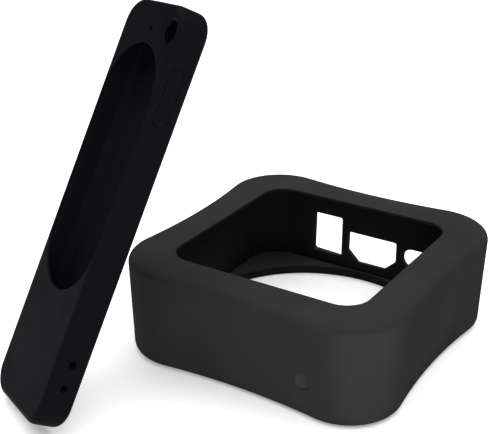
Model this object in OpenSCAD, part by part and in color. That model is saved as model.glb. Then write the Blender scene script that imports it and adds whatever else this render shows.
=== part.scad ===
// Pair of moulded silicone protective sleeves for a streaming media player:
// a square box sleeve with port openings, and a slim sleeve for its remote control.
// Frame: origin at the centre of the box sleeve's base, +X right, +Y towards the
// port wall, +Z up, millimetres. The remote sleeve is modelled flat on its back
// (x across, y along, z through the front) and then stood up beside the box sleeve.

/* [Player] */
// Side of the square player body
player_side = 98; // [90:0.5:104]
// Height of the player body above its round foot
player_height = 33.2; // [26:0.2:40]
// Corner radius of the player body
player_corner = 14; // [10:0.5:18]

/* [Box sleeve] */
// Overall width across the swelled corners
sleeve_width = 108; // [106:0.5:116]
// Depth of the waist in the middle of each side
waist = 2.2; // [0.5:0.1:2.6]
// Plan radius of the swelled corners
lobe_radius = 21; // [18:0.5:25]
// Thickness of the floor round the base opening
floor_t = 3.2; // [2:0.1:5]
// Thickness of the top lip
lip_t = 1.4; // [1:0.1:2.4]
// Radius on the upper outer edge
top_round = 3; // [1:0.1:3.6]
// Radius on the lower outer edge
base_round = 3.2; // [1:0.1:3.6]
// How much narrower each side is at the base
draft = 1.1; // [0:0.1:1.4]
// Side of the square top opening
top_opening = 76; // [60:0.5:84]
// Corner radius of the top opening
top_opening_radius = 9; // [5:0.5:14]
// Diameter of the round base opening
base_opening_d = 93.6; // [70:0.2:95]

/* [Ports] */
// Height of the network port opening's lower edge
network_z = 7.2; // [5:0.1:10]
// Width of the network port opening
network_w = 13.6; // [12:0.1:16]
// Height of the network port opening
network_h = 17.4; // [12:0.1:20]
// Centre of the network port opening across the wall
network_x = -19.6; // [-26:0.1:-18.5]
// Height of the video port opening's lower edge
video_z = 6.4; // [5:0.1:10]
// Width of the video port opening
video_w = 21.8; // [18:0.1:24]
// Height of the video port opening
video_h = 13; // [10:0.1:14]
// Centre of the video port opening across the wall
video_x = 1; // [0:0.1:2]
// Width of the power port opening
power_w = 16.4; // [12:0.1:18]
// Height of the power port opening
power_h = 8.6; // [7:0.1:11]
// Centre of the power port opening across the wall
power_x = 23; // [22.5:0.1:27]
// Height of the power port opening's centre
power_z = 14; // [12:0.1:18]

/* [Status light] */
// Diameter of the thin light window
light_d = 6; // [3:0.1:8]
// Position of the light window across the front wall
light_x = 26; // [10:0.5:27]
// Height of the light window's centre
light_z = 13.8; // [9:0.1:24]

/* [Remote] */
// Width of the remote control
remote_w = 35.2; // [30:0.2:40]
// Length of the remote control
remote_l = 136; // [120:1:150]
// Thickness of the remote control
remote_t = 9.4; // [8:0.1:12]

/* [Remote sleeve] */
// Wall at the sides and ends of the remote sleeve
side_wall = 2.6; // [2:0.1:3.4]
// Thickness of the solid back
back_t = 1; // [0.8:0.1:1.6]
// Thickness of the front lip
front_t = 0.8; // [0.6:0.1:1.4]
// Corner radius of the remote sleeve seen from the front
sleeve_corner = 8.5; // [6:0.5:11]
// Radius on the front and back edges of the remote sleeve
edge_round = 2.4; // [1:0.1:2.8]
// Width of the keypad opening
keypad_w = 36.4; // [30:0.2:37.2]
// Distance from the bottom end to the keypad opening
keypad_y0 = 42.5; // [30:0.5:60]
// Distance from the bottom end to the keypad opening's upper end
keypad_y1 = 127; // [100:0.5:128]
// Diameter of the power button opening
power_button_d = 7.6; // [6:0.1:9]
// Diameter of the microphone hole
mic_d = 1.8; // [1:0.1:2.4]
// Diameter of the two lanyard holes
lanyard_d = 2.4; // [1.5:0.1:3]
// Distance between the lanyard holes
lanyard_pitch = 8; // [5:0.5:12]
// Length of the side button pad
pad_l = 19; // [12:0.5:24]
// Width of the side button pad
pad_w = 5; // [3.5:0.1:6]
// Gap all round the side button pad
pad_gap = 0.2; // [0.15:0.05:0.3]
// How far the side button pad stands proud of the wall
pad_proud = 0.3; // [0:0.05:0.5]
// Width of the charging slot in the bottom end
charge_w = 11; // [8:0.5:14]
// Height of the charging slot in the bottom end
charge_h = 4.6; // [3.5:0.1:6]

/* [Placing] */
// Lean, tilt and heading of the remote sleeve
remote_turn = [-27.5, -6.3, -27.1];
// Centre of the remote sleeve's lower front edge
remote_at = [-53, -105.5, 5.6];

/* [Hidden] */
SILICONE = [0.13, 0.13, 0.135];
SILICONE_REMOTE = [0.10, 0.10, 0.115];
LIGHT_WINDOW = [0.21, 0.21, 0.215];

// box sleeve outline: four corner circles joined by tangent hollow arcs
half = sleeve_width / 2;
lobe_c = half - lobe_radius;
waist_m = half - waist - lobe_c;
hollow_r = (lobe_c * lobe_c + waist_m * waist_m - lobe_radius * lobe_radius) / (2 * (lobe_radius - waist_m));
hollow_c = half - waist + hollow_r;
hollow_a = atan2(lobe_c, hollow_c - lobe_c);
sleeve_h = floor_t + player_height + lip_t;
CORNER_STEPS = 12;
SIDE_STEPS = 8;
ROUND_STEPS = 4;

// remote sleeve outer size
rs_w = remote_w + 2 * side_wall;
rs_l = remote_l + 2 * side_wall;
rs_t = back_t + remote_t + front_t;
keypad_end = 19;
power_button_x = 14.4;
power_button_y = rs_l - 9.1;
mic_x = 1.2;
mic_y = rs_l - 9.4;
chin_y = 61;
brow_y = 108;
pad_y = 112.5;
pad_z = rs_t * 0.58;
lanyard_y = 19.5;
lanyard_z = rs_t * 0.52;

function spin(p, a) = [p[0] * cos(a) - p[1] * sin(a), p[0] * sin(a) + p[1] * cos(a)];

// one quarter of the box outline, drawn in by o all round
function quarter(o) = concat(
    [for (i = [0:CORNER_STEPS])
        let (a = -90 - hollow_a + (90 + 2 * hollow_a) * i / CORNER_STEPS)
        [lobe_c + (lobe_radius - o) * cos(a), -lobe_c + (lobe_radius - o) * sin(a)]],
    [for (j = [1:SIDE_STEPS - 1])
        let (a = 180 + hollow_a - 2 * hollow_a * j / SIDE_STEPS)
        [hollow_c + (hollow_r + o) * cos(a), (hollow_r + o) * sin(a)]]);
function box_ring(o) = [for (k = [0:3]) for (p = quarter(o)) spin(p, 90 * k)];

// rounded rectangle standing on y = 0, drawn in by o all round
function slab_ring(w, l, r, o) = [
    for (k = [0:3])
        let (sx = (k == 0 || k == 1) ? 1 : -1, cy = (k == 1 || k == 2) ? l - r : r)
        for (i = [0:CORNER_STEPS / 2])
            let (a = -90 + 90 * k + 90 * i / (CORNER_STEPS / 2))
            [sx * (w / 2 - r) + (r - o) * cos(a), cy + (r - o) * sin(a)]];

// heights and insets of a wall with a rounded lower and upper edge
function wall_levels(h, rb, rt, slope) = concat(
    [for (i = [0:ROUND_STEPS]) let (a = 90 * i / ROUND_STEPS) [rb * (1 - cos(a)), rb * (1 - sin(a)) + slope]],
    [for (i = [0:ROUND_STEPS]) let (a = 90 * i / ROUND_STEPS) [h - rt * (1 - sin(a)), rt * (1 - cos(a))]]);

// closed skin over a stack of equal rings
module skin(rings, heights) {
    n = len(rings[0]);
    m = len(rings);
    polyhedron(
        points = [for (i = [0:m - 1]) for (p = rings[i]) [p[0], p[1], heights[i]]],
        faces = concat(
            [[for (j = [0:n - 1]) j]],
            [for (i = [0:m - 2]) for (j = [0:n - 1])
                [i * n + j, (i + 1) * n + j, (i + 1) * n + (j + 1) % n, i * n + (j + 1) % n]],
            [[for (j = [0:n - 1]) (m - 1) * n + n - 1 - j]]));
}

// square with rounded corners, centred
module round_square(w, l, r) {
    union() {
        square([w - 2 * r, l], center = true);
        square([w, l - 2 * r], center = true);
        for (sx = [-1, 1], sy = [-1, 1])
            translate([sx * (w / 2 - r), sy * (l / 2 - r)]) circle(r = r, $fn = 64);
    }
}

// stadium with its long side along x, centred
module stadium(l, w) {
    union() {
        square([l - w, w], center = true);
        for (s = [-1, 1]) translate([s * (l - w) / 2, 0]) circle(d = w, $fn = 48);
    }
}

module box_body() {
    levels = wall_levels(sleeve_h, base_round, top_round, draft);
    skin([for (v = levels) box_ring(v[1])], [for (v = levels) v[0]]);
}

// the shapes cut through the port wall, drawn as seen from inside
module port_cut() {
    translate([0, half + 2, 0])
        rotate([90, 0, 0])
            linear_extrude(height = 10) children();
}

module network_port() {
    port_cut() translate([network_x - network_w / 2, network_z]) square([network_w, network_h]);
}

module video_port() {
    slant_x = 5;
    slant_z = 4.4;
    port_cut() translate([video_x, video_z]) polygon([
        [-video_w / 2 + slant_x, 0], [video_w / 2 - slant_x, 0], [video_w / 2, slant_z],
        [video_w / 2, video_h], [-video_w / 2, video_h], [-video_w / 2, slant_z]]);
}

module power_port() {
    port_cut() translate([power_x, power_z]) stadium(power_w, power_h);
}

module player_sleeve() color(SILICONE) {
    difference() {
        box_body();
        translate([0, 0, floor_t])
            linear_extrude(height = player_height) round_square(player_side, player_side, player_corner);
        translate([0, 0, sleeve_h - lip_t - 1])
            linear_extrude(height = lip_t + 2) round_square(top_opening, top_opening, top_opening_radius);
        translate([0, 0, -1]) cylinder(d = base_opening_d, h = floor_t + 2, $fn = 128);
        network_port();
        video_port();
        power_port();
        translate([light_x, -half - 2, light_z]) rotate([-90, 0, 0]) cylinder(d = light_d, h = 8, $fn = 48);
    }
}

// thin disc that closes the light hole, set back from the wall's outer face
module status_light_window() color(LIGHT_WINDOW) {
    translate([light_x, -player_side / 2 - 3, light_z]) rotate([-90, 0, 0]) cylinder(d = light_d, h = 1.6, $fn = 48);
}

// stands the flat remote sleeve up in its place
module standing() {
    translate(remote_at) rotate(remote_turn)
        translate([0, rs_t, 0]) rotate([90, 0, 0]) children();
}

// long oval with half-elliptical ends
module keypad_outline() {
    a = keypad_w / 2;
    n = 16;
    polygon(concat(
        [for (i = [0:n]) let (t = 180 + 180 * i / n) [a * cos(t), keypad_y0 + keypad_end * (1 + sin(t))]],
        [for (i = [0:n]) let (t = 180 * i / n) [a * cos(t), keypad_y1 - keypad_end * (1 - sin(t))]]));
}

module remote_body() {
    levels = wall_levels(rs_t, edge_round, edge_round, 0);
    skin([for (v = levels) slab_ring(rs_w, rs_l, sleeve_corner, v[1])], [for (v = levels) v[0]]);
}

// stadium that runs along the sleeve, pushed out through the right wall
module side_slot(l, w, x0, depth) {
    translate([x0, pad_y, pad_z]) rotate([90, 0, 90]) linear_extrude(height = depth) stadium(l, w);
}

// the whole slim sleeve, lying on its back
module remote_shell() {
    difference() {
        remote_body();
        translate([0, rs_l / 2, back_t])
            linear_extrude(height = remote_t) round_square(remote_w, remote_l, sleeve_corner - side_wall);
        translate([0, 0, rs_t - front_t - 0.2]) linear_extrude(height = front_t + 2) keypad_outline();
        translate([power_button_x, power_button_y, rs_t - front_t - 1])
            cylinder(d = power_button_d, h = front_t + 2, $fn = 48);
        translate([mic_x, mic_y, rs_t - front_t - 1]) cylinder(d = mic_d, h = front_t + 2, $fn = 32);
        for (s = [-1, 1])
            translate([rs_w / 2 - side_wall - 1, lanyard_y + s * lanyard_pitch / 2, lanyard_z])
                rotate([0, 90, 0]) cylinder(d = lanyard_d, h = side_wall + 2, $fn = 32);
        side_slot(pad_l + 2 * pad_gap, pad_w + 2 * pad_gap, remote_w / 2 - 1, side_wall + 2);
        translate([0, side_wall + 1, back_t + remote_t / 2])
            rotate([90, 0, 0]) linear_extrude(height = side_wall + 2) stadium(charge_w, charge_h);
    }
}

// slice of the lying sleeve between two lengths and two heights
module zone(y0, y1, z0, z1) {
    translate([-rs_w, y0, z0]) cube([2 * rs_w, y1 - y0, z1 - z0]);
}

// the moulding in four parts: solid back, wall all round, and the front below and above the keypad
module remote_sleeve_back() color(SILICONE_REMOTE) standing() {
    intersection() {
        remote_body();
        zone(-1, rs_l + 1, -1, back_t);
    }
}

module remote_sleeve_wall() color(SILICONE_REMOTE) standing() {
    difference() {
        remote_shell();
        zone(-1, rs_l + 1, -1, back_t);
        zone(-1, chin_y, rs_t - front_t, rs_t + 1);
        zone(brow_y, rs_l + 1, rs_t - front_t, rs_t + 1);
    }
}

module remote_sleeve_chin() color(SILICONE_REMOTE) standing() {
    intersection() {
        remote_shell();
        zone(-1, chin_y, rs_t - front_t, rs_t + 1);
    }
}

module remote_sleeve_brow() color(SILICONE_REMOTE) standing() {
    intersection() {
        remote_shell();
        zone(brow_y, rs_l + 1, rs_t - front_t, rs_t + 1);
    }
}

module side_button_pad() color(SILICONE_REMOTE) standing() {
    side_slot(pad_l, pad_w, remote_w / 2, side_wall + pad_proud);
}

player_sleeve();
status_light_window();
remote_sleeve_back();
remote_sleeve_wall();
remote_sleeve_chin();
remote_sleeve_brow();
side_button_pad();
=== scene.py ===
"""Looks for a pair of silicone sleeves: a box sleeve for a media player, a slim one for its remote."""

import math
from functools import partial

import bmesh
import bpy
import numpy as np
from mathutils import Euler, Matrix, Vector

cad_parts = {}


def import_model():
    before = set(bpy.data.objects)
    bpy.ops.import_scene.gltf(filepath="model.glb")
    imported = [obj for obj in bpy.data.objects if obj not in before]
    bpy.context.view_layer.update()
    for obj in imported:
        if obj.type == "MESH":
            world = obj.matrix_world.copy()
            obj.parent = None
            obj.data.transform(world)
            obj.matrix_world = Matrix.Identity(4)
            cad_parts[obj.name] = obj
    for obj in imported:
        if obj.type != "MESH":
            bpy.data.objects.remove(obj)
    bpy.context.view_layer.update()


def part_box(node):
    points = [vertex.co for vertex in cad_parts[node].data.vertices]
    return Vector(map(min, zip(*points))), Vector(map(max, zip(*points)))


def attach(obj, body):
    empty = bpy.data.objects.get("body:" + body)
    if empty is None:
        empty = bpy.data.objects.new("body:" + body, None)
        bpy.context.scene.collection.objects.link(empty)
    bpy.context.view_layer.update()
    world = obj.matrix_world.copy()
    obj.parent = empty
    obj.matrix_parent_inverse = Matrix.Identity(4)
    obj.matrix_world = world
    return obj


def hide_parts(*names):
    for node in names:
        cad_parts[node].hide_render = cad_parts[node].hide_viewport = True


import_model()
MM = 0.001

# ---------------------------------------------------------------- sizes, in millimetres
# box sleeve: walls, lips and openings
BOX_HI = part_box("player_sleeve")[1] / MM
HALF = BOX_HI.x
BOX_H = BOX_HI.z
WAIST = 2.2
LOBE_R = 21.0
DRAFT = 1.1
TOP_ROUND = 3.0
BASE_ROUND = 3.2
FLOOR_T = 3.2
LIP_T = 1.4
LIP_SAG = 0.3
POCKET = 49.0
POCKET_R = 14.0
POCKET_ROUND = 1.0
TOP_OPEN = 38.0
TOP_OPEN_R = 9.0
BASE_OPEN_R = 46.8
BASE_OPEN_ROUND = 0.5
RIM_ROUND = 1.0
# relief groove where the floor meets the wall: how far in from the wall, how deep
GROOVE = (
    (0, 0.55),
    (0.06, 0.64),
    (0.15, 0.7),
    (0.62, 0.7),
    (0.72, 0.62),
    (0.78, 0.12),
    (0.82, 0.04),
    (0.92, 0),
)

# box sleeve outline: a convex lobe at each corner, run into a hollow arc along each side
LOBE_C = HALF - LOBE_R
HOLLOW_M = HALF - WAIST - LOBE_C
HOLLOW_R = (LOBE_C**2 + HOLLOW_M**2 - LOBE_R**2) / (2 * (LOBE_R - HOLLOW_M))
HOLLOW_C = HALF - WAIST + HOLLOW_R
HOLLOW_A = math.atan2(LOBE_C, HOLLOW_C - LOBE_C)

# port openings and light window, as seen on their walls
PORT_ROUND = 0.9
NETWORK_X, NETWORK_Z = (-26.4, -12.8), (7.2, 24.6)
VIDEO_X, VIDEO_Z = (-9.9, 11.9), (6.4, 19.4)
VIDEO_FOOT_X, VIDEO_SHOULDER_Z = (-4.6, 6.6), 10.9
POWER_PORT_X, POWER_PORT_Z, POWER_PORT_R = (19.1, 26.9), 14.0, 4.3
PORT_FLARE, LIGHT_FLARE = 0.3, 0.4
LIGHT_X, LIGHT_Z, LIGHT_R, LIGHT_DISH = 26.0, 13.8, 3.0, 0.35

# the slim sleeve is built lying on its back: x across, y along, z through the front
SLIM_W, SLIM_L, SLIM_T = 40.4, 141.2, 11.2
SLIM_CORNER = 8.7
SLIM_EDGE = 2.55
SIDE_WALL = 2.6
BACK_T = 1.0
FRONT_T = 0.8
SLIM_POCKET_ROUND = 3.4
KEYPAD_HALF = 17.9
KEYPAD_Y0, KEYPAD_Y1, KEYPAD_END = 42.5, 127.0, 19.0
KEYPAD_ROUND = 0.4
POWER_X, POWER_Y, POWER_R = 14.4, SLIM_L - 9.1, 3.8
POWER_DISH, POWER_DISH_DEEP, POWER_DISH_DRIFT = 1.5, 0.75, 1.1
MIC_X, MIC_Y, MIC_R, MIC_ROUND = 1.2, SLIM_L - 9.4, 1.0, 0.2
LANYARD_Y, LANYARD_Z, LANYARD_PITCH = 19.5, SLIM_T * 0.52, 8.0
LANYARD_R, LANYARD_ROUND = 1.2, 0.45
PAD_Y, PAD_Z, PAD_L, PAD_W = 112.5, SLIM_T * 0.58, 19.0, 5.0
PAD_GAP, PAD_PROUD, PAD_ROUND, PAD_CROWN = 0.05, 0.3, 0.5, 0.12
SLOT_FLARE = 0.2
CHARGE_W, CHARGE_H = 11.0, 4.6
SLIM_TURN = (-27.5, -6.3, -27.1)
SLIM_AT = (-53.0, -105.5, 5.6)

# points along each corner and each straight of an outline
CORNER_PTS, SIDE_PTS = 28, 28
SLAB_CORNER_PTS, SLAB_LONG_PTS, SLAB_END_PTS = 14, 64, 22

QUARTER = math.pi / 2
TO_METRES = Matrix.Scale(MM, 4)
AS_DRAWN = Matrix.Identity(4)


# ---------------------------------------------------------------- mesh helpers
def standing():
    """Matrix that takes the lying slim sleeve, in millimetres, to its place in the row frame, in metres."""
    turn = Euler([math.radians(a) for a in SLIM_TURN], "XYZ").to_matrix().to_4x4()
    lift = Matrix.Translation((0, SLIM_T, 0)) @ Matrix.Rotation(QUARTER, 4, "X")
    return TO_METRES @ Matrix.Translation(SLIM_AT) @ turn @ lift


def lerp(a, b, t):
    return a + (b - a) * t


def steps(start, stop, count):
    """Evenly spaced values from start, leaving out stop."""
    return np.linspace(start, stop, count + 1)[:-1]


def fillet(across, count, deep=None):
    """Quarter round as (across, deep) pairs, from (0, deep) on the wall to (across, 0) on the face."""
    deep = across if deep is None else deep
    return [(across * (1 - math.sin(a)), deep * (1 - math.cos(a))) for a in np.linspace(QUARTER, 0, count)]


def ring(outline, at, axis="z"):
    """Flat outline in space: at is its place along the axis, or a place for each point."""
    return np.insert(outline, "xyz".index(axis), at, axis=1)


def make_object(name, verts, faces, matrix):
    mesh = bpy.data.meshes.new(name)
    mesh.from_pydata([tuple(v) for v in verts], [], faces)
    bm = bmesh.new()
    bm.from_mesh(mesh)
    bmesh.ops.recalc_face_normals(bm, faces=bm.faces)
    bm.to_mesh(mesh)
    bm.free()
    mesh.transform(matrix)
    obj = bpy.data.objects.new(name, mesh)
    bpy.context.collection.objects.link(obj)
    return obj


def loft(name, rings, matrix, closed=False):
    """Skin over equal rings. closed joins the last ring to the first; otherwise both ends are capped."""
    n = len(rings[0])
    count = len(rings)
    faces = []
    for i in range(count if closed else count - 1):
        a, b = i * n, ((i + 1) % count) * n
        for j in range(n):
            k = (j + 1) % n
            faces.append((a + j, a + k, b + k, b + j))
    if not closed:
        faces.append(tuple(range(n - 1, -1, -1)))
        faces.append(tuple(range((count - 1) * n, count * n)))
    return make_object(name, np.vstack(rings), faces, matrix)


def apply_all(obj):
    """Applies every modifier of obj."""
    bpy.context.view_layer.update()
    deps = bpy.context.evaluated_depsgraph_get()
    mesh = bpy.data.meshes.new_from_object(obj.evaluated_get(deps))
    obj.modifiers.clear()
    old = obj.data
    obj.data = mesh
    bpy.data.meshes.remove(old)


def cut(obj, cutters):
    """Takes the cutters out of obj, and deletes them."""
    for c in cutters:
        mod = obj.modifiers.new("cut", "BOOLEAN")
        mod.operation = "DIFFERENCE"
        mod.solver = "EXACT"
        mod.object = c
    apply_all(obj)
    for c in cutters:
        bpy.data.objects.remove(c, do_unlink=True)


def smooth(obj, angle=32):
    """Smooth shading, with a crease where the surface really turns."""
    mesh = obj.data
    mesh.polygons.foreach_set("use_smooth", [True] * len(mesh.polygons))
    mesh.set_sharp_from_angle(angle=math.radians(angle))
    mod = obj.modifiers.new("normals", "WEIGHTED_NORMAL")
    mod.keep_sharp = True
    mod.weight = 90
    apply_all(obj)


# ---------------------------------------------------------------- outlines
def spin(points, quarter):
    """Points turned round the origin by a number of quarter turns."""
    c, s = ((1, 0), (0, 1), (-1, 0), (0, -1))[quarter]
    return points @ np.array([[c, s], [-s, c]])


def four(quarter):
    """Closed outline from its first quarter."""
    return np.vstack([spin(quarter, k) for k in range(4)])


def arc(cx, cy, r, a0, a1, count, last=False):
    t = np.linspace(a0, a1, count + 1)
    if not last:
        t = t[:-1]
    return np.column_stack([cx + r * np.cos(t), cy + r * np.sin(t)])


def waisted(inset):
    """Box sleeve outline, drawn in by inset."""
    corner = arc(LOBE_C, -LOBE_C, LOBE_R - inset, -QUARTER - HOLLOW_A, HOLLOW_A, CORNER_PTS)
    side = arc(HOLLOW_C, 0, HOLLOW_R + inset, math.pi + HOLLOW_A, math.pi - HOLLOW_A, SIDE_PTS)
    return four(np.vstack([corner, side]))


def square(half, r):
    """Rounded square."""
    c = half - r
    corner = arc(c, -c, r, -QUARTER, 0, CORNER_PTS)
    side = np.column_stack([np.full(SIDE_PTS, half), steps(-c, c, SIDE_PTS)])
    return four(np.vstack([corner, side]))


def circle(r):
    """Circle with its points matched to the rounded squares."""
    b = math.radians(24)
    corner = arc(0, 0, r, -QUARTER + b, -b, CORNER_PTS)
    side = arc(0, 0, r, -b, b, SIDE_PTS)
    return four(np.vstack([corner, side]))


def bulge(centres, radius, count=10):
    """Closed outline at one distance from a convex polygon, a segment or a point, in order."""
    centres = np.array(centres, float)
    n = len(centres)
    if n == 1:
        return arc(*centres[0], radius, 0, 2 * math.pi, count * 4)
    out = []
    for i in range(n):
        before = centres[i] - centres[i - 1]
        after = centres[(i + 1) % n] - centres[i]
        a0 = math.atan2(before[1], before[0]) - QUARTER
        a1 = math.atan2(after[1], after[0]) - QUARTER
        while a1 <= a0:
            a1 += 2 * math.pi
        out.append(arc(*centres[i], radius, a0, a1, count, last=True))
    return np.vstack(out)


# ---------------------------------------------------------------- box sleeve
def box_rings():
    """Rings round the section: up the outside, over the lip, down the pocket, in to the base opening."""
    rings = []

    def add(outline, z):
        rings.append(ring(outline, z))

    # underside and outer wall
    for out, up in fillet(BASE_OPEN_ROUND, 5):
        add(circle(BASE_OPEN_R + out), up)
    add(lerp(circle(BASE_OPEN_R + BASE_OPEN_ROUND), waisted(BASE_ROUND + DRAFT), 0.5), 0)
    for inset, up in reversed(fillet(BASE_ROUND, 9)):
        add(waisted(inset + DRAFT), up)
    for t in np.linspace(0, 1, 10)[1:-1]:
        add(waisted(DRAFT * (1 - t)), lerp(BASE_ROUND, BOX_H - TOP_ROUND, t))
    for inset, down in fillet(TOP_ROUND, 9):
        add(waisted(inset), BOX_H - down)

    # top lip, sagging a little to its round edge
    lip_r = LIP_T / 2
    shoulder = waisted(TOP_ROUND)
    edge = square(TOP_OPEN + lip_r, TOP_OPEN_R + lip_r)
    for t in (0.2, 0.4, 0.6, 0.8):
        add(lerp(shoulder, edge, t), BOX_H - LIP_SAG * t * t)
    for a in np.linspace(QUARTER, -QUARTER, 11):
        out = lip_r * (1 - math.cos(a))
        add(square(TOP_OPEN + out, TOP_OPEN_R + out), BOX_H - LIP_SAG - lip_r + lip_r * math.sin(a))

    # pocket, from the underside of the lip to the groove round the floor
    ceiling = BOX_H - LIP_T - 0.1
    add(square(TOP_OPEN + 4, TOP_OPEN_R + 1.5), ceiling)
    for inset, down in reversed(fillet(POCKET_ROUND, 5)):
        add(square(POCKET - inset, POCKET_R - inset), ceiling - down)
    for t in (0.25, 0.5, 0.75):
        add(square(POCKET, POCKET_R), lerp(ceiling - POCKET_ROUND, FLOOR_T, t))
    for inset, sink in GROOVE:
        add(square(POCKET - inset, POCKET_R - inset), FLOOR_T - sink)

    # floor ring
    inset = GROOVE[-1][0]
    add(lerp(square(POCKET - inset, POCKET_R - inset), circle(BASE_OPEN_R + RIM_ROUND), 0.5), FLOOR_T)
    for out, down in reversed(fillet(RIM_ROUND, 8)):
        add(circle(BASE_OPEN_R + out), FLOOR_T - down)
    return rings


def wall_out(x, z):
    """How far the outer wall stands from the centre at x, z."""
    inset = DRAFT * (1 - (z - BASE_ROUND) / (BOX_H - TOP_ROUND - BASE_ROUND))
    return HOLLOW_C - np.sqrt((HOLLOW_R + inset) ** 2 - np.square(x))


def wall_cutter(centres, radius, sign, flare=PORT_FLARE):
    """Tube through the front (sign -1) or port (+1) wall, with rounded mouths inside and out."""
    rings = []
    clear = ((flare + 0.3, -2.0), (flare + 0.3, -0.05))

    def add(grow, deep, inside):
        p = bulge(centres, radius + grow)
        y = POCKET + deep if inside else wall_out(p[:, 0], p[:, 1]) - deep
        rings.append(ring(p, y * sign, "y"))

    for grow, deep in (*clear, *reversed(fillet(flare, 7))):
        add(grow, deep, False)
    for grow, deep in (*fillet(flare, 7), *reversed(clear)):
        add(grow, deep, True)
    return loft("cutter", rings, TO_METRES)


def port_cutters():
    """Network, video and power port openings, side by side in the rear wall."""
    r = PORT_ROUND
    x0, x1, z0, z1 = NETWORK_X[0] + r, NETWORK_X[1] - r, NETWORK_Z[0] + r, NETWORK_Z[1] - r
    network = [(x0, z0), (x1, z0), (x1, z1), (x0, z1)]
    x0, x1, z0, z1 = VIDEO_X[0] + r, VIDEO_X[1] - r, VIDEO_Z[0] + r, VIDEO_Z[1] - r
    shoulder = VIDEO_SHOULDER_Z + r * 0.4
    foot = [(x, z0) for x in VIDEO_FOOT_X]
    video = foot + [(x1, shoulder), (x1, z1), (x0, z1), (x0, shoulder)]
    power = [(x, POWER_PORT_Z) for x in POWER_PORT_X]
    return [wall_cutter(network, r, 1), wall_cutter(video, r, 1), wall_cutter(power, POWER_PORT_R, 1)]


def box_sleeve():
    obj = loft("box_sleeve_skin", box_rings(), TO_METRES, closed=True)
    cut(obj, port_cutters() + [wall_cutter([(LIGHT_X, LIGHT_Z)], LIGHT_R, -1, LIGHT_FLARE)])
    smooth(obj)
    return obj


def light_window():
    """Thin disc, slightly dished, closing the hole in the front wall."""
    lo, hi = (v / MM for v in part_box("status_light_window"))
    rings = []

    def add(r, y):
        rings.append(ring(bulge([(LIGHT_X, LIGHT_Z)], r), y, "y"))

    add(0.05, hi.y)
    add(LIGHT_R - 0.3, hi.y)
    add(LIGHT_R, hi.y - 0.3)
    add(LIGHT_R, lo.y + 0.1)
    for t in (0.94, 0.8, 0.6, 0.4, 0.2, 0.02):
        add(LIGHT_R * t, lo.y + LIGHT_DISH * (1 - t * t))
    obj = loft("status_light_disc", rings, TO_METRES)
    smooth(obj)
    return obj


# ---------------------------------------------------------------- slim sleeve
def slab(inset):
    """Slim sleeve outline, drawn in by inset: each corner in turn, then the straight that follows it."""
    r = SLIM_CORNER
    x, lo, hi = SLIM_W / 2 - r, r, SLIM_L - r
    centres = np.array([(x, lo), (x, hi), (-x, hi), (-x, lo)])
    out = []
    for k in range(4):
        here, after = centres[k], centres[(k + 1) % 4]
        out.append(arc(*here, r - inset, (k - 1) * QUARTER, k * QUARTER, SLAB_CORNER_PTS))
        outward = np.array([math.cos(k * QUARTER), math.sin(k * QUARTER)]) * (r - inset)
        share = steps(0, 1, SLAB_END_PTS if k % 2 else SLAB_LONG_PTS)
        out.append(lerp(here, after, share[:, None]) + outward)
    return np.vstack(out)


def keypad(grow=0.0):
    """Keypad opening, a long oval, with its points matched to slab() by the way they face."""
    a, b = KEYPAD_HALF + grow, KEYPAD_END + grow
    lo, hi = KEYPAD_Y0 + KEYPAD_END, KEYPAD_Y1 - KEYPAD_END
    turn = math.radians(62)
    out = []

    def oval(t, cy):
        out.append(np.column_stack([a * np.cos(t), cy + b * np.sin(t)]))

    for side, start, near, far in ((1, 0, lo, hi), (-1, math.pi, hi, lo)):
        oval(steps(start - turn, start, SLAB_CORNER_PTS), near)
        out.append(np.column_stack([np.full(SLAB_LONG_PTS, side * a), steps(near, far, SLAB_LONG_PTS)]))
        oval(steps(start, start + turn, SLAB_CORNER_PTS), far)
        oval(steps(start + turn, start + math.pi - turn, SLAB_END_PTS), far)
    return np.vstack(out)


def slim_rings():
    """Outer skin, lying: rounded back edge, wall, rounded front edge."""
    rings = [ring(slab(inset), up) for inset, up in reversed(fillet(SLIM_EDGE, 10))]
    rings.append(ring(slab(0), SLIM_T / 2))
    rings += [ring(slab(inset), SLIM_T - down) for inset, down in fillet(SLIM_EDGE, 10)]
    return rings


def pocket_cutter():
    """The hollow that holds the remote, with a round floor edge and a little wider under the front lip."""
    rings = [ring(slab(SIDE_WALL + inset), BACK_T + up) for up, inset in fillet(SLIM_POCKET_ROUND, 10)]
    for wider, down in ((0, 1.4), (0.5, 0.5), (0.7, 0)):
        rings.append(ring(slab(SIDE_WALL - wider), SLIM_T - FRONT_T - down))
    return loft("cutter", rings, AS_DRAWN)


def keypad_cutter():
    """The long oval opening in the front, with a rounded lip."""
    lip = SLIM_T - FRONT_T
    rings = [ring(keypad(), lip - 0.3), ring(keypad(), lip + 0.05)]
    rings += [ring(keypad(grow), SLIM_T - down) for grow, down in fillet(KEYPAD_ROUND, 7)]
    rings += [ring(keypad(KEYPAD_ROUND + 0.05), SLIM_T + up) for up in (0.05, 2)]
    return loft("cutter", rings, AS_DRAWN)


def hole_cutter(at, axis, r, wall, flare, deep=None, drift=0.0):
    """Round hole along an axis, inwards from at on the outer face. Its mouth is rounded, and drift moves
    the mouth off the hole's centre, so that it is wider on one side."""
    k = "xyz".index(axis)
    flat = np.delete(at, k)
    profile = [(0, -wall - 1.5)] + [(grow, -down) for grow, down in fillet(flare, 8, deep)]
    profile += [(flare + 0.05, 0.05), (flare + 0.05, 2.0)]
    rings = []
    for grow, h in profile:
        p = arc(-drift * grow / (flare + 0.05), 0, r + grow, 0, 2 * math.pi, 48)
        rings.append(ring(p + flat, at[k] + h, axis))
    return loft("cutter", rings, AS_DRAWN)


def pad_outline(inset):
    c = (PAD_L - PAD_W) / 2
    return bulge([(PAD_Y - c, PAD_Z), (PAD_Y + c, PAD_Z)], PAD_W / 2 - inset)


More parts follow.
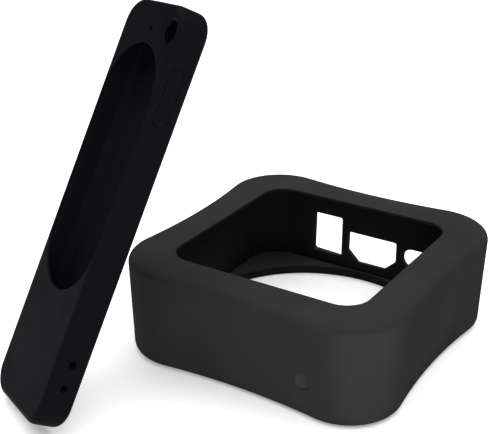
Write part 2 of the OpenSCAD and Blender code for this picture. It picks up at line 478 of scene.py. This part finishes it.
def slot_cutter():
    """Slot for the side pad through the right wall, with a softened outer mouth."""
    outer = SLIM_W / 2
    profile = [(outer - SIDE_WALL - 1, 0)]
    profile += [(outer - deep, across) for across, deep in fillet(SLOT_FLARE, 5)]
    profile.append((outer + 1, SLOT_FLARE))
    return loft("cutter", [ring(pad_outline(-PAD_GAP - grow), x, "x") for x, grow in profile], AS_DRAWN)


def charge_cutter():
    """Charging slot in the bottom end, with a flared mouth."""
    c = (CHARGE_W - CHARGE_H) / 2
    z = BACK_T + (SLIM_T - BACK_T - FRONT_T) / 2
    rings = []
    for y, grow in ((SIDE_WALL + 1, 0), (0.6, 0), (0.35, 0.05), (0.12, 0.25), (0.0, 0.55), (-1.5, 0.6)):
        rings.append(ring(bulge([(-c, z), (c, z)], CHARGE_H / 2 + grow), y, "y"))
    return loft("cutter", rings, AS_DRAWN)


def slim_sleeve():
    obj = loft("slim_sleeve_skin", slim_rings(), AS_DRAWN)
    power, mic = (POWER_X, POWER_Y, SLIM_T), (MIC_X, MIC_Y, SLIM_T)
    cutters = [
        pocket_cutter(),
        keypad_cutter(),
        hole_cutter(power, "z", POWER_R, FRONT_T, POWER_DISH, POWER_DISH_DEEP, POWER_DISH_DRIFT),
        hole_cutter(mic, "z", MIC_R, FRONT_T, MIC_ROUND),
    ]
    for along in (-LANYARD_PITCH / 2, LANYARD_PITCH / 2):
        at = (SLIM_W / 2, LANYARD_Y + along, LANYARD_Z)
        cutters.append(hole_cutter(at, "x", LANYARD_R, SIDE_WALL, LANYARD_ROUND))
    cut(obj, [*cutters, slot_cutter(), charge_cutter()])
    obj.data.transform(standing())
    smooth(obj)
    return obj


def side_pad():
    """Soft-edged pad, a little proud of the wall and crowned in the middle."""
    inner, outer = SLIM_W / 2 - SIDE_WALL, SLIM_W / 2 + PAD_PROUD
    middle = PAD_W / 2 - 0.05
    profile = [(middle, inner), (1.2, inner), (0.3, inner), (0, inner + 0.3)]
    profile += [(inset, outer - PAD_CROWN - down) for inset, down in fillet(PAD_ROUND, 7)]
    profile += [(0.8, outer - 0.09), (1.3, outer - 0.05), (1.9, outer - 0.015), (middle, outer)]
    obj = loft("side_button_cap", [ring(pad_outline(inset), x, "x") for inset, x in profile], AS_DRAWN)
    obj.data.transform(standing())
    smooth(obj)
    return obj


# ---------------------------------------------------------------- materials
def add_node(tree, kind, inputs=None, **settings):
    """New shader node with its settings, and with each of its inputs set or linked."""
    node = tree.nodes.new("ShaderNode" + kind)
    for key, value in settings.items():
        setattr(node, key, value)
    for socket, value in (inputs or {}).items():
        if isinstance(value, bpy.types.NodeSocket):
            tree.links.new(value, node.inputs[socket])
        else:
            node.inputs[socket].default_value = value
    return node


def shade(rgb, factor=1.0):
    return (*[min(1, c * factor) for c in rgb], 1)


def silicone(name, colour, dust_and_highlight, roughness, specular, highlight_band=None, inner=1.0):
    """Moulded silicone: fine matte grain, faint blotches and a few specks of lint.
    highlight_band, two radii round the upright axis in metres, paints upright faces paler between them, a
    painted highlight on the corners, and then inner is how dark the faces that look in towards that axis
    are painted, a painted shade."""
    mat = bpy.data.materials.new(name)
    mat.use_nodes = True
    mat.node_tree.nodes.clear()
    node = partial(add_node, mat.node_tree)
    coords = node("TexCoord").outputs

    def noise(scale, detail, rough=0.5):
        inputs = {"Vector": coords["Object"], "Scale": scale, "Detail": detail, "Roughness": rough}
        return node("TexNoise", inputs).outputs["Fac"]

    def ramp(value, *stops):
        n = node("ValToRGB", {"Fac": value})
        for element, (position, grey) in zip(n.color_ramp.elements, stops):
            element.position, element.color = position, (grey, grey, grey, 1)
        return n.outputs["Color"]

    def remap(value, low, high, kind="LINEAR"):
        inputs = {"Value": value, "From Min": low, "From Max": high}
        return node("MapRange", inputs, interpolation_type=kind).outputs["Result"]

    def mix(fac, a, b, kind="MIX"):
        inputs = {"Factor": fac, "A": a, "B": b}
        return node("Mix", inputs, data_type="RGBA", blend_type=kind).outputs["Result"]

    blotch = ramp(noise(45, 3), (0.35, 0), (0.7, 1))
    base = mix(blotch, shade(colour, 0.92), shade(colour, 1.1))
    base = mix(ramp(noise(1800, 2), (0.45, 0), (0.75, 0.35)), base, shade(dust_and_highlight))
    # painted highlight on the upright faces of the outer corner lobes, and painted shade on the faces that
    # look inwards
    if highlight_band:
        normal = coords["Normal"]
        flat = node("VectorMath", {0: coords["Object"], 1: (1, 1, 0)}, operation="MULTIPLY")
        place = flat.outputs["Vector"]
        away = node("VectorMath", {0: place}, operation="LENGTH").outputs["Value"]
        outer = remap(away, *highlight_band, "SMOOTHSTEP")
        upright = remap(node("SeparateXYZ", {"Vector": normal}).outputs["Z"], 0.65, 0.2)
        painted_highlight = node("Math", {0: outer, 1: upright}, operation="MULTIPLY").outputs["Value"]
        # painted highlight: upright outer faces made paler, standing in for light on the corners
        base = mix(painted_highlight, base, shade(dust_and_highlight, 0.95))
        outward = node("VectorMath", {0: place, 1: normal}, operation="DOT_PRODUCT").outputs["Value"]
        # painted shade: faces that look in towards the middle are darkened
        base = mix(remap(outward, -0.004, -0.025), base, shade(colour, inner))
    cells = node("TexVoronoi", {"Vector": coords["Object"], "Scale": 140})
    specks = ramp(cells.outputs["Distance"], (0.02, 1), (0.045, 0))
    lint = mix(1.0, specks, ramp(noise(60, 1), (0.58, 0), (0.62, 0.5)), "MULTIPLY")
    base = mix(lint, base, shade(dust_and_highlight, 2.2))

    rough = ramp(noise(120, 3), (0.3, roughness - 0.05), (0.7, roughness + 0.06))
    wave = node("Bump", {"Strength": 0.25, "Distance": 0.00025, "Height": noise(70, 2)}).outputs["Normal"]
    fine = {"Strength": 0.3, "Distance": 0.00003, "Height": noise(3200, 3, 0.6), "Normal": wave}
    grain = node("Bump", fine).outputs["Normal"]
    surface = {"Base Color": base, "Roughness": rough, "Specular IOR Level": specular, "Normal": grain}
    shader = node("BsdfPrincipled", surface)
    node("OutputMaterial", {"Surface": shader.outputs["BSDF"]})
    return mat


def dress(obj, material, body, slot, *nodes):
    """Gives a piece its material and its body, and hides the CAD nodes that it replaces. slot is not used.
    """
    obj.data.materials.clear()
    obj.data.materials.append(material)
    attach(obj, body)
    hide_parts(*nodes)


# ---------------------------------------------------------------- the pieces
box_silicone = silicone(
    "box_silicone",
    (0.0255, 0.0255, 0.0258),
    (0.037, 0.037, 0.0375),
    roughness=0.6,
    specular=0.0,
    # painted highlight band on the outer corners
    highlight_band=(0.0638, 0.0676),
    # painted shade on the inward-looking faces
    inner=0.35,
)
slim_silicone = silicone("slim_silicone", (0.0052, 0.0048, 0.0066), (0.0080, 0.0074, 0.0098), 0.42, 0.008)
window_silicone = silicone("window_silicone", (0.033, 0.033, 0.0335), (0.042, 0.042, 0.043), 0.45, 0.03)

dress(box_sleeve(), box_silicone, "box_sleeve", "silicone_box", "player_sleeve")
dress(light_window(), window_silicone, "box_sleeve", "light_window", "status_light_window")
dress(
    slim_sleeve(),
    slim_silicone,
    "remote_cover",
    "silicone_remote",
    "remote_sleeve_back",
    "remote_sleeve_wall",
    "remote_sleeve_chin",
    "remote_sleeve_brow",
)
dress(side_pad(), slim_silicone, "side_button", "silicone_remote", "side_button_pad")


# ---------------------------------------------------------------- floor, light and camera
# the camera's angles in degrees, and the point it looks at and its distance from it in millimetres
AZIMUTH, ELEVATION, LENS = 32.48, 24.15, 80.8
LOOK_AT, DISTANCE = (-32.43, 5.09, 37.18), 424.12


def paper(name, albedo):
    """Matt white studio paper, returned with its shader."""
    mat = bpy.data.materials.new(name)
    mat.use_nodes = True
    shader = mat.node_tree.nodes["Principled BSDF"]
    shader.inputs["Base Color"].default_value = (albedo, albedo, albedo, 1)
    shader.inputs["Roughness"].default_value = 0.9
    shader.inputs["Specular IOR Level"].default_value = 0.1
    shader.inputs["Emission Color"].default_value = (1, 1, 1, 1)
    return mat, shader


def floor():
    """White paper, brighter far away where the lights no longer reach it."""
    s = 6.0
    obj = make_object("floor", [(-s, -s, 0), (s, -s, 0), (s, s, 0), (-s, s, 0)], [(0, 1, 2, 3)], AS_DRAWN)
    obj.location.z = -0.0002
    mat, shader = paper("floor_paper", 0.92)
    node = partial(add_node, mat.node_tree)
    away = node("VectorMath", {0: node("TexCoord").outputs["Object"]}, operation="LENGTH").outputs["Value"]
    reach = {"Value": away, "From Min": 0.9, "From Max": 2.8, "To Min": 0.25, "To Max": 1.0}
    glow = node("MapRange", reach, interpolation_type="SMOOTHSTEP").outputs["Result"]
    mat.node_tree.links.new(glow, shader.inputs["Emission Strength"])
    obj.data.materials.append(mat)


def backdrop():
    """Round white backdrop far behind everything; it is seen but sheds no light on the sleeves."""
    n, radius, height = 64, 5.5, 3.0
    outline = arc(0, 0, radius, 0, 2 * math.pi, n)
    verts = np.vstack([ring(outline, 0), ring(outline, height)])
    faces = [(i, (i + 1) % n, n + (i + 1) % n, n + i) for i in range(n)]
    obj = make_object("backdrop", verts, faces, AS_DRAWN)
    mat, shader = paper("backdrop_paper", 0.0)
    shader.inputs["Emission Strength"].default_value = 1.0
    obj.data.materials.append(mat)
    obj.visible_diffuse = obj.visible_glossy = obj.visible_transmission = obj.visible_shadow = False


def area(name, size, power, at, towards):
    """Soft box, aimed at a point."""
    data = bpy.data.lights.new(name, "AREA")
    data.shape = "RECTANGLE"
    data.size, data.size_y = size
    data.energy = power
    obj = bpy.data.objects.new(name, data)
    bpy.context.collection.objects.link(obj)
    obj.location = at
    obj.rotation_euler = (Vector(towards) - Vector(at)).to_track_quat("-Z", "Y").to_euler()


def world(level):
    """Even white light from all round."""
    w = bpy.data.worlds.new("studio")
    bpy.context.scene.world = w
    w.use_nodes = True
    back = w.node_tree.nodes["Background"]
    back.inputs["Color"].default_value = (1, 1, 1, 1)
    back.inputs["Strength"].default_value = level


def camera():
    """Camera at the photograph's viewing angle."""
    azimuth, elevation = math.radians(AZIMUTH), math.radians(ELEVATION)
    level = math.cos(elevation)
    back = Vector((math.sin(azimuth) * level, -math.cos(azimuth) * level, math.sin(elevation)))
    data = bpy.data.cameras.new("camera")
    data.sensor_width = 36
    data.lens = LENS
    data.clip_start = 0.01
    obj = bpy.data.objects.new("camera", data)
    bpy.context.collection.objects.link(obj)
    obj.location = (Vector(LOOK_AT) + back * DISTANCE) * MM
    obj.rotation_euler = back.to_track_quat("Z", "Y").to_euler()
    bpy.context.scene.camera = obj


floor()
backdrop()
world(0.06)
area("top_box", (4.0, 4.0), 124, (-0.1, 0.3, 2.0), (-0.1, 0.3, 0))
area("corner_box", (0.25, 0.5), 2.6, (0.60, -0.80, 0.34), (0, 0, 0.02))
area("left_box", (0.4, 0.6), 1.0, (-0.75, -0.85, 0.45), (-0.04, -0.07, 0.06))
camera()
bpy.context.scene.view_settings.view_transform = "Standard"
bpy.context.scene.view_settings.look = "None"
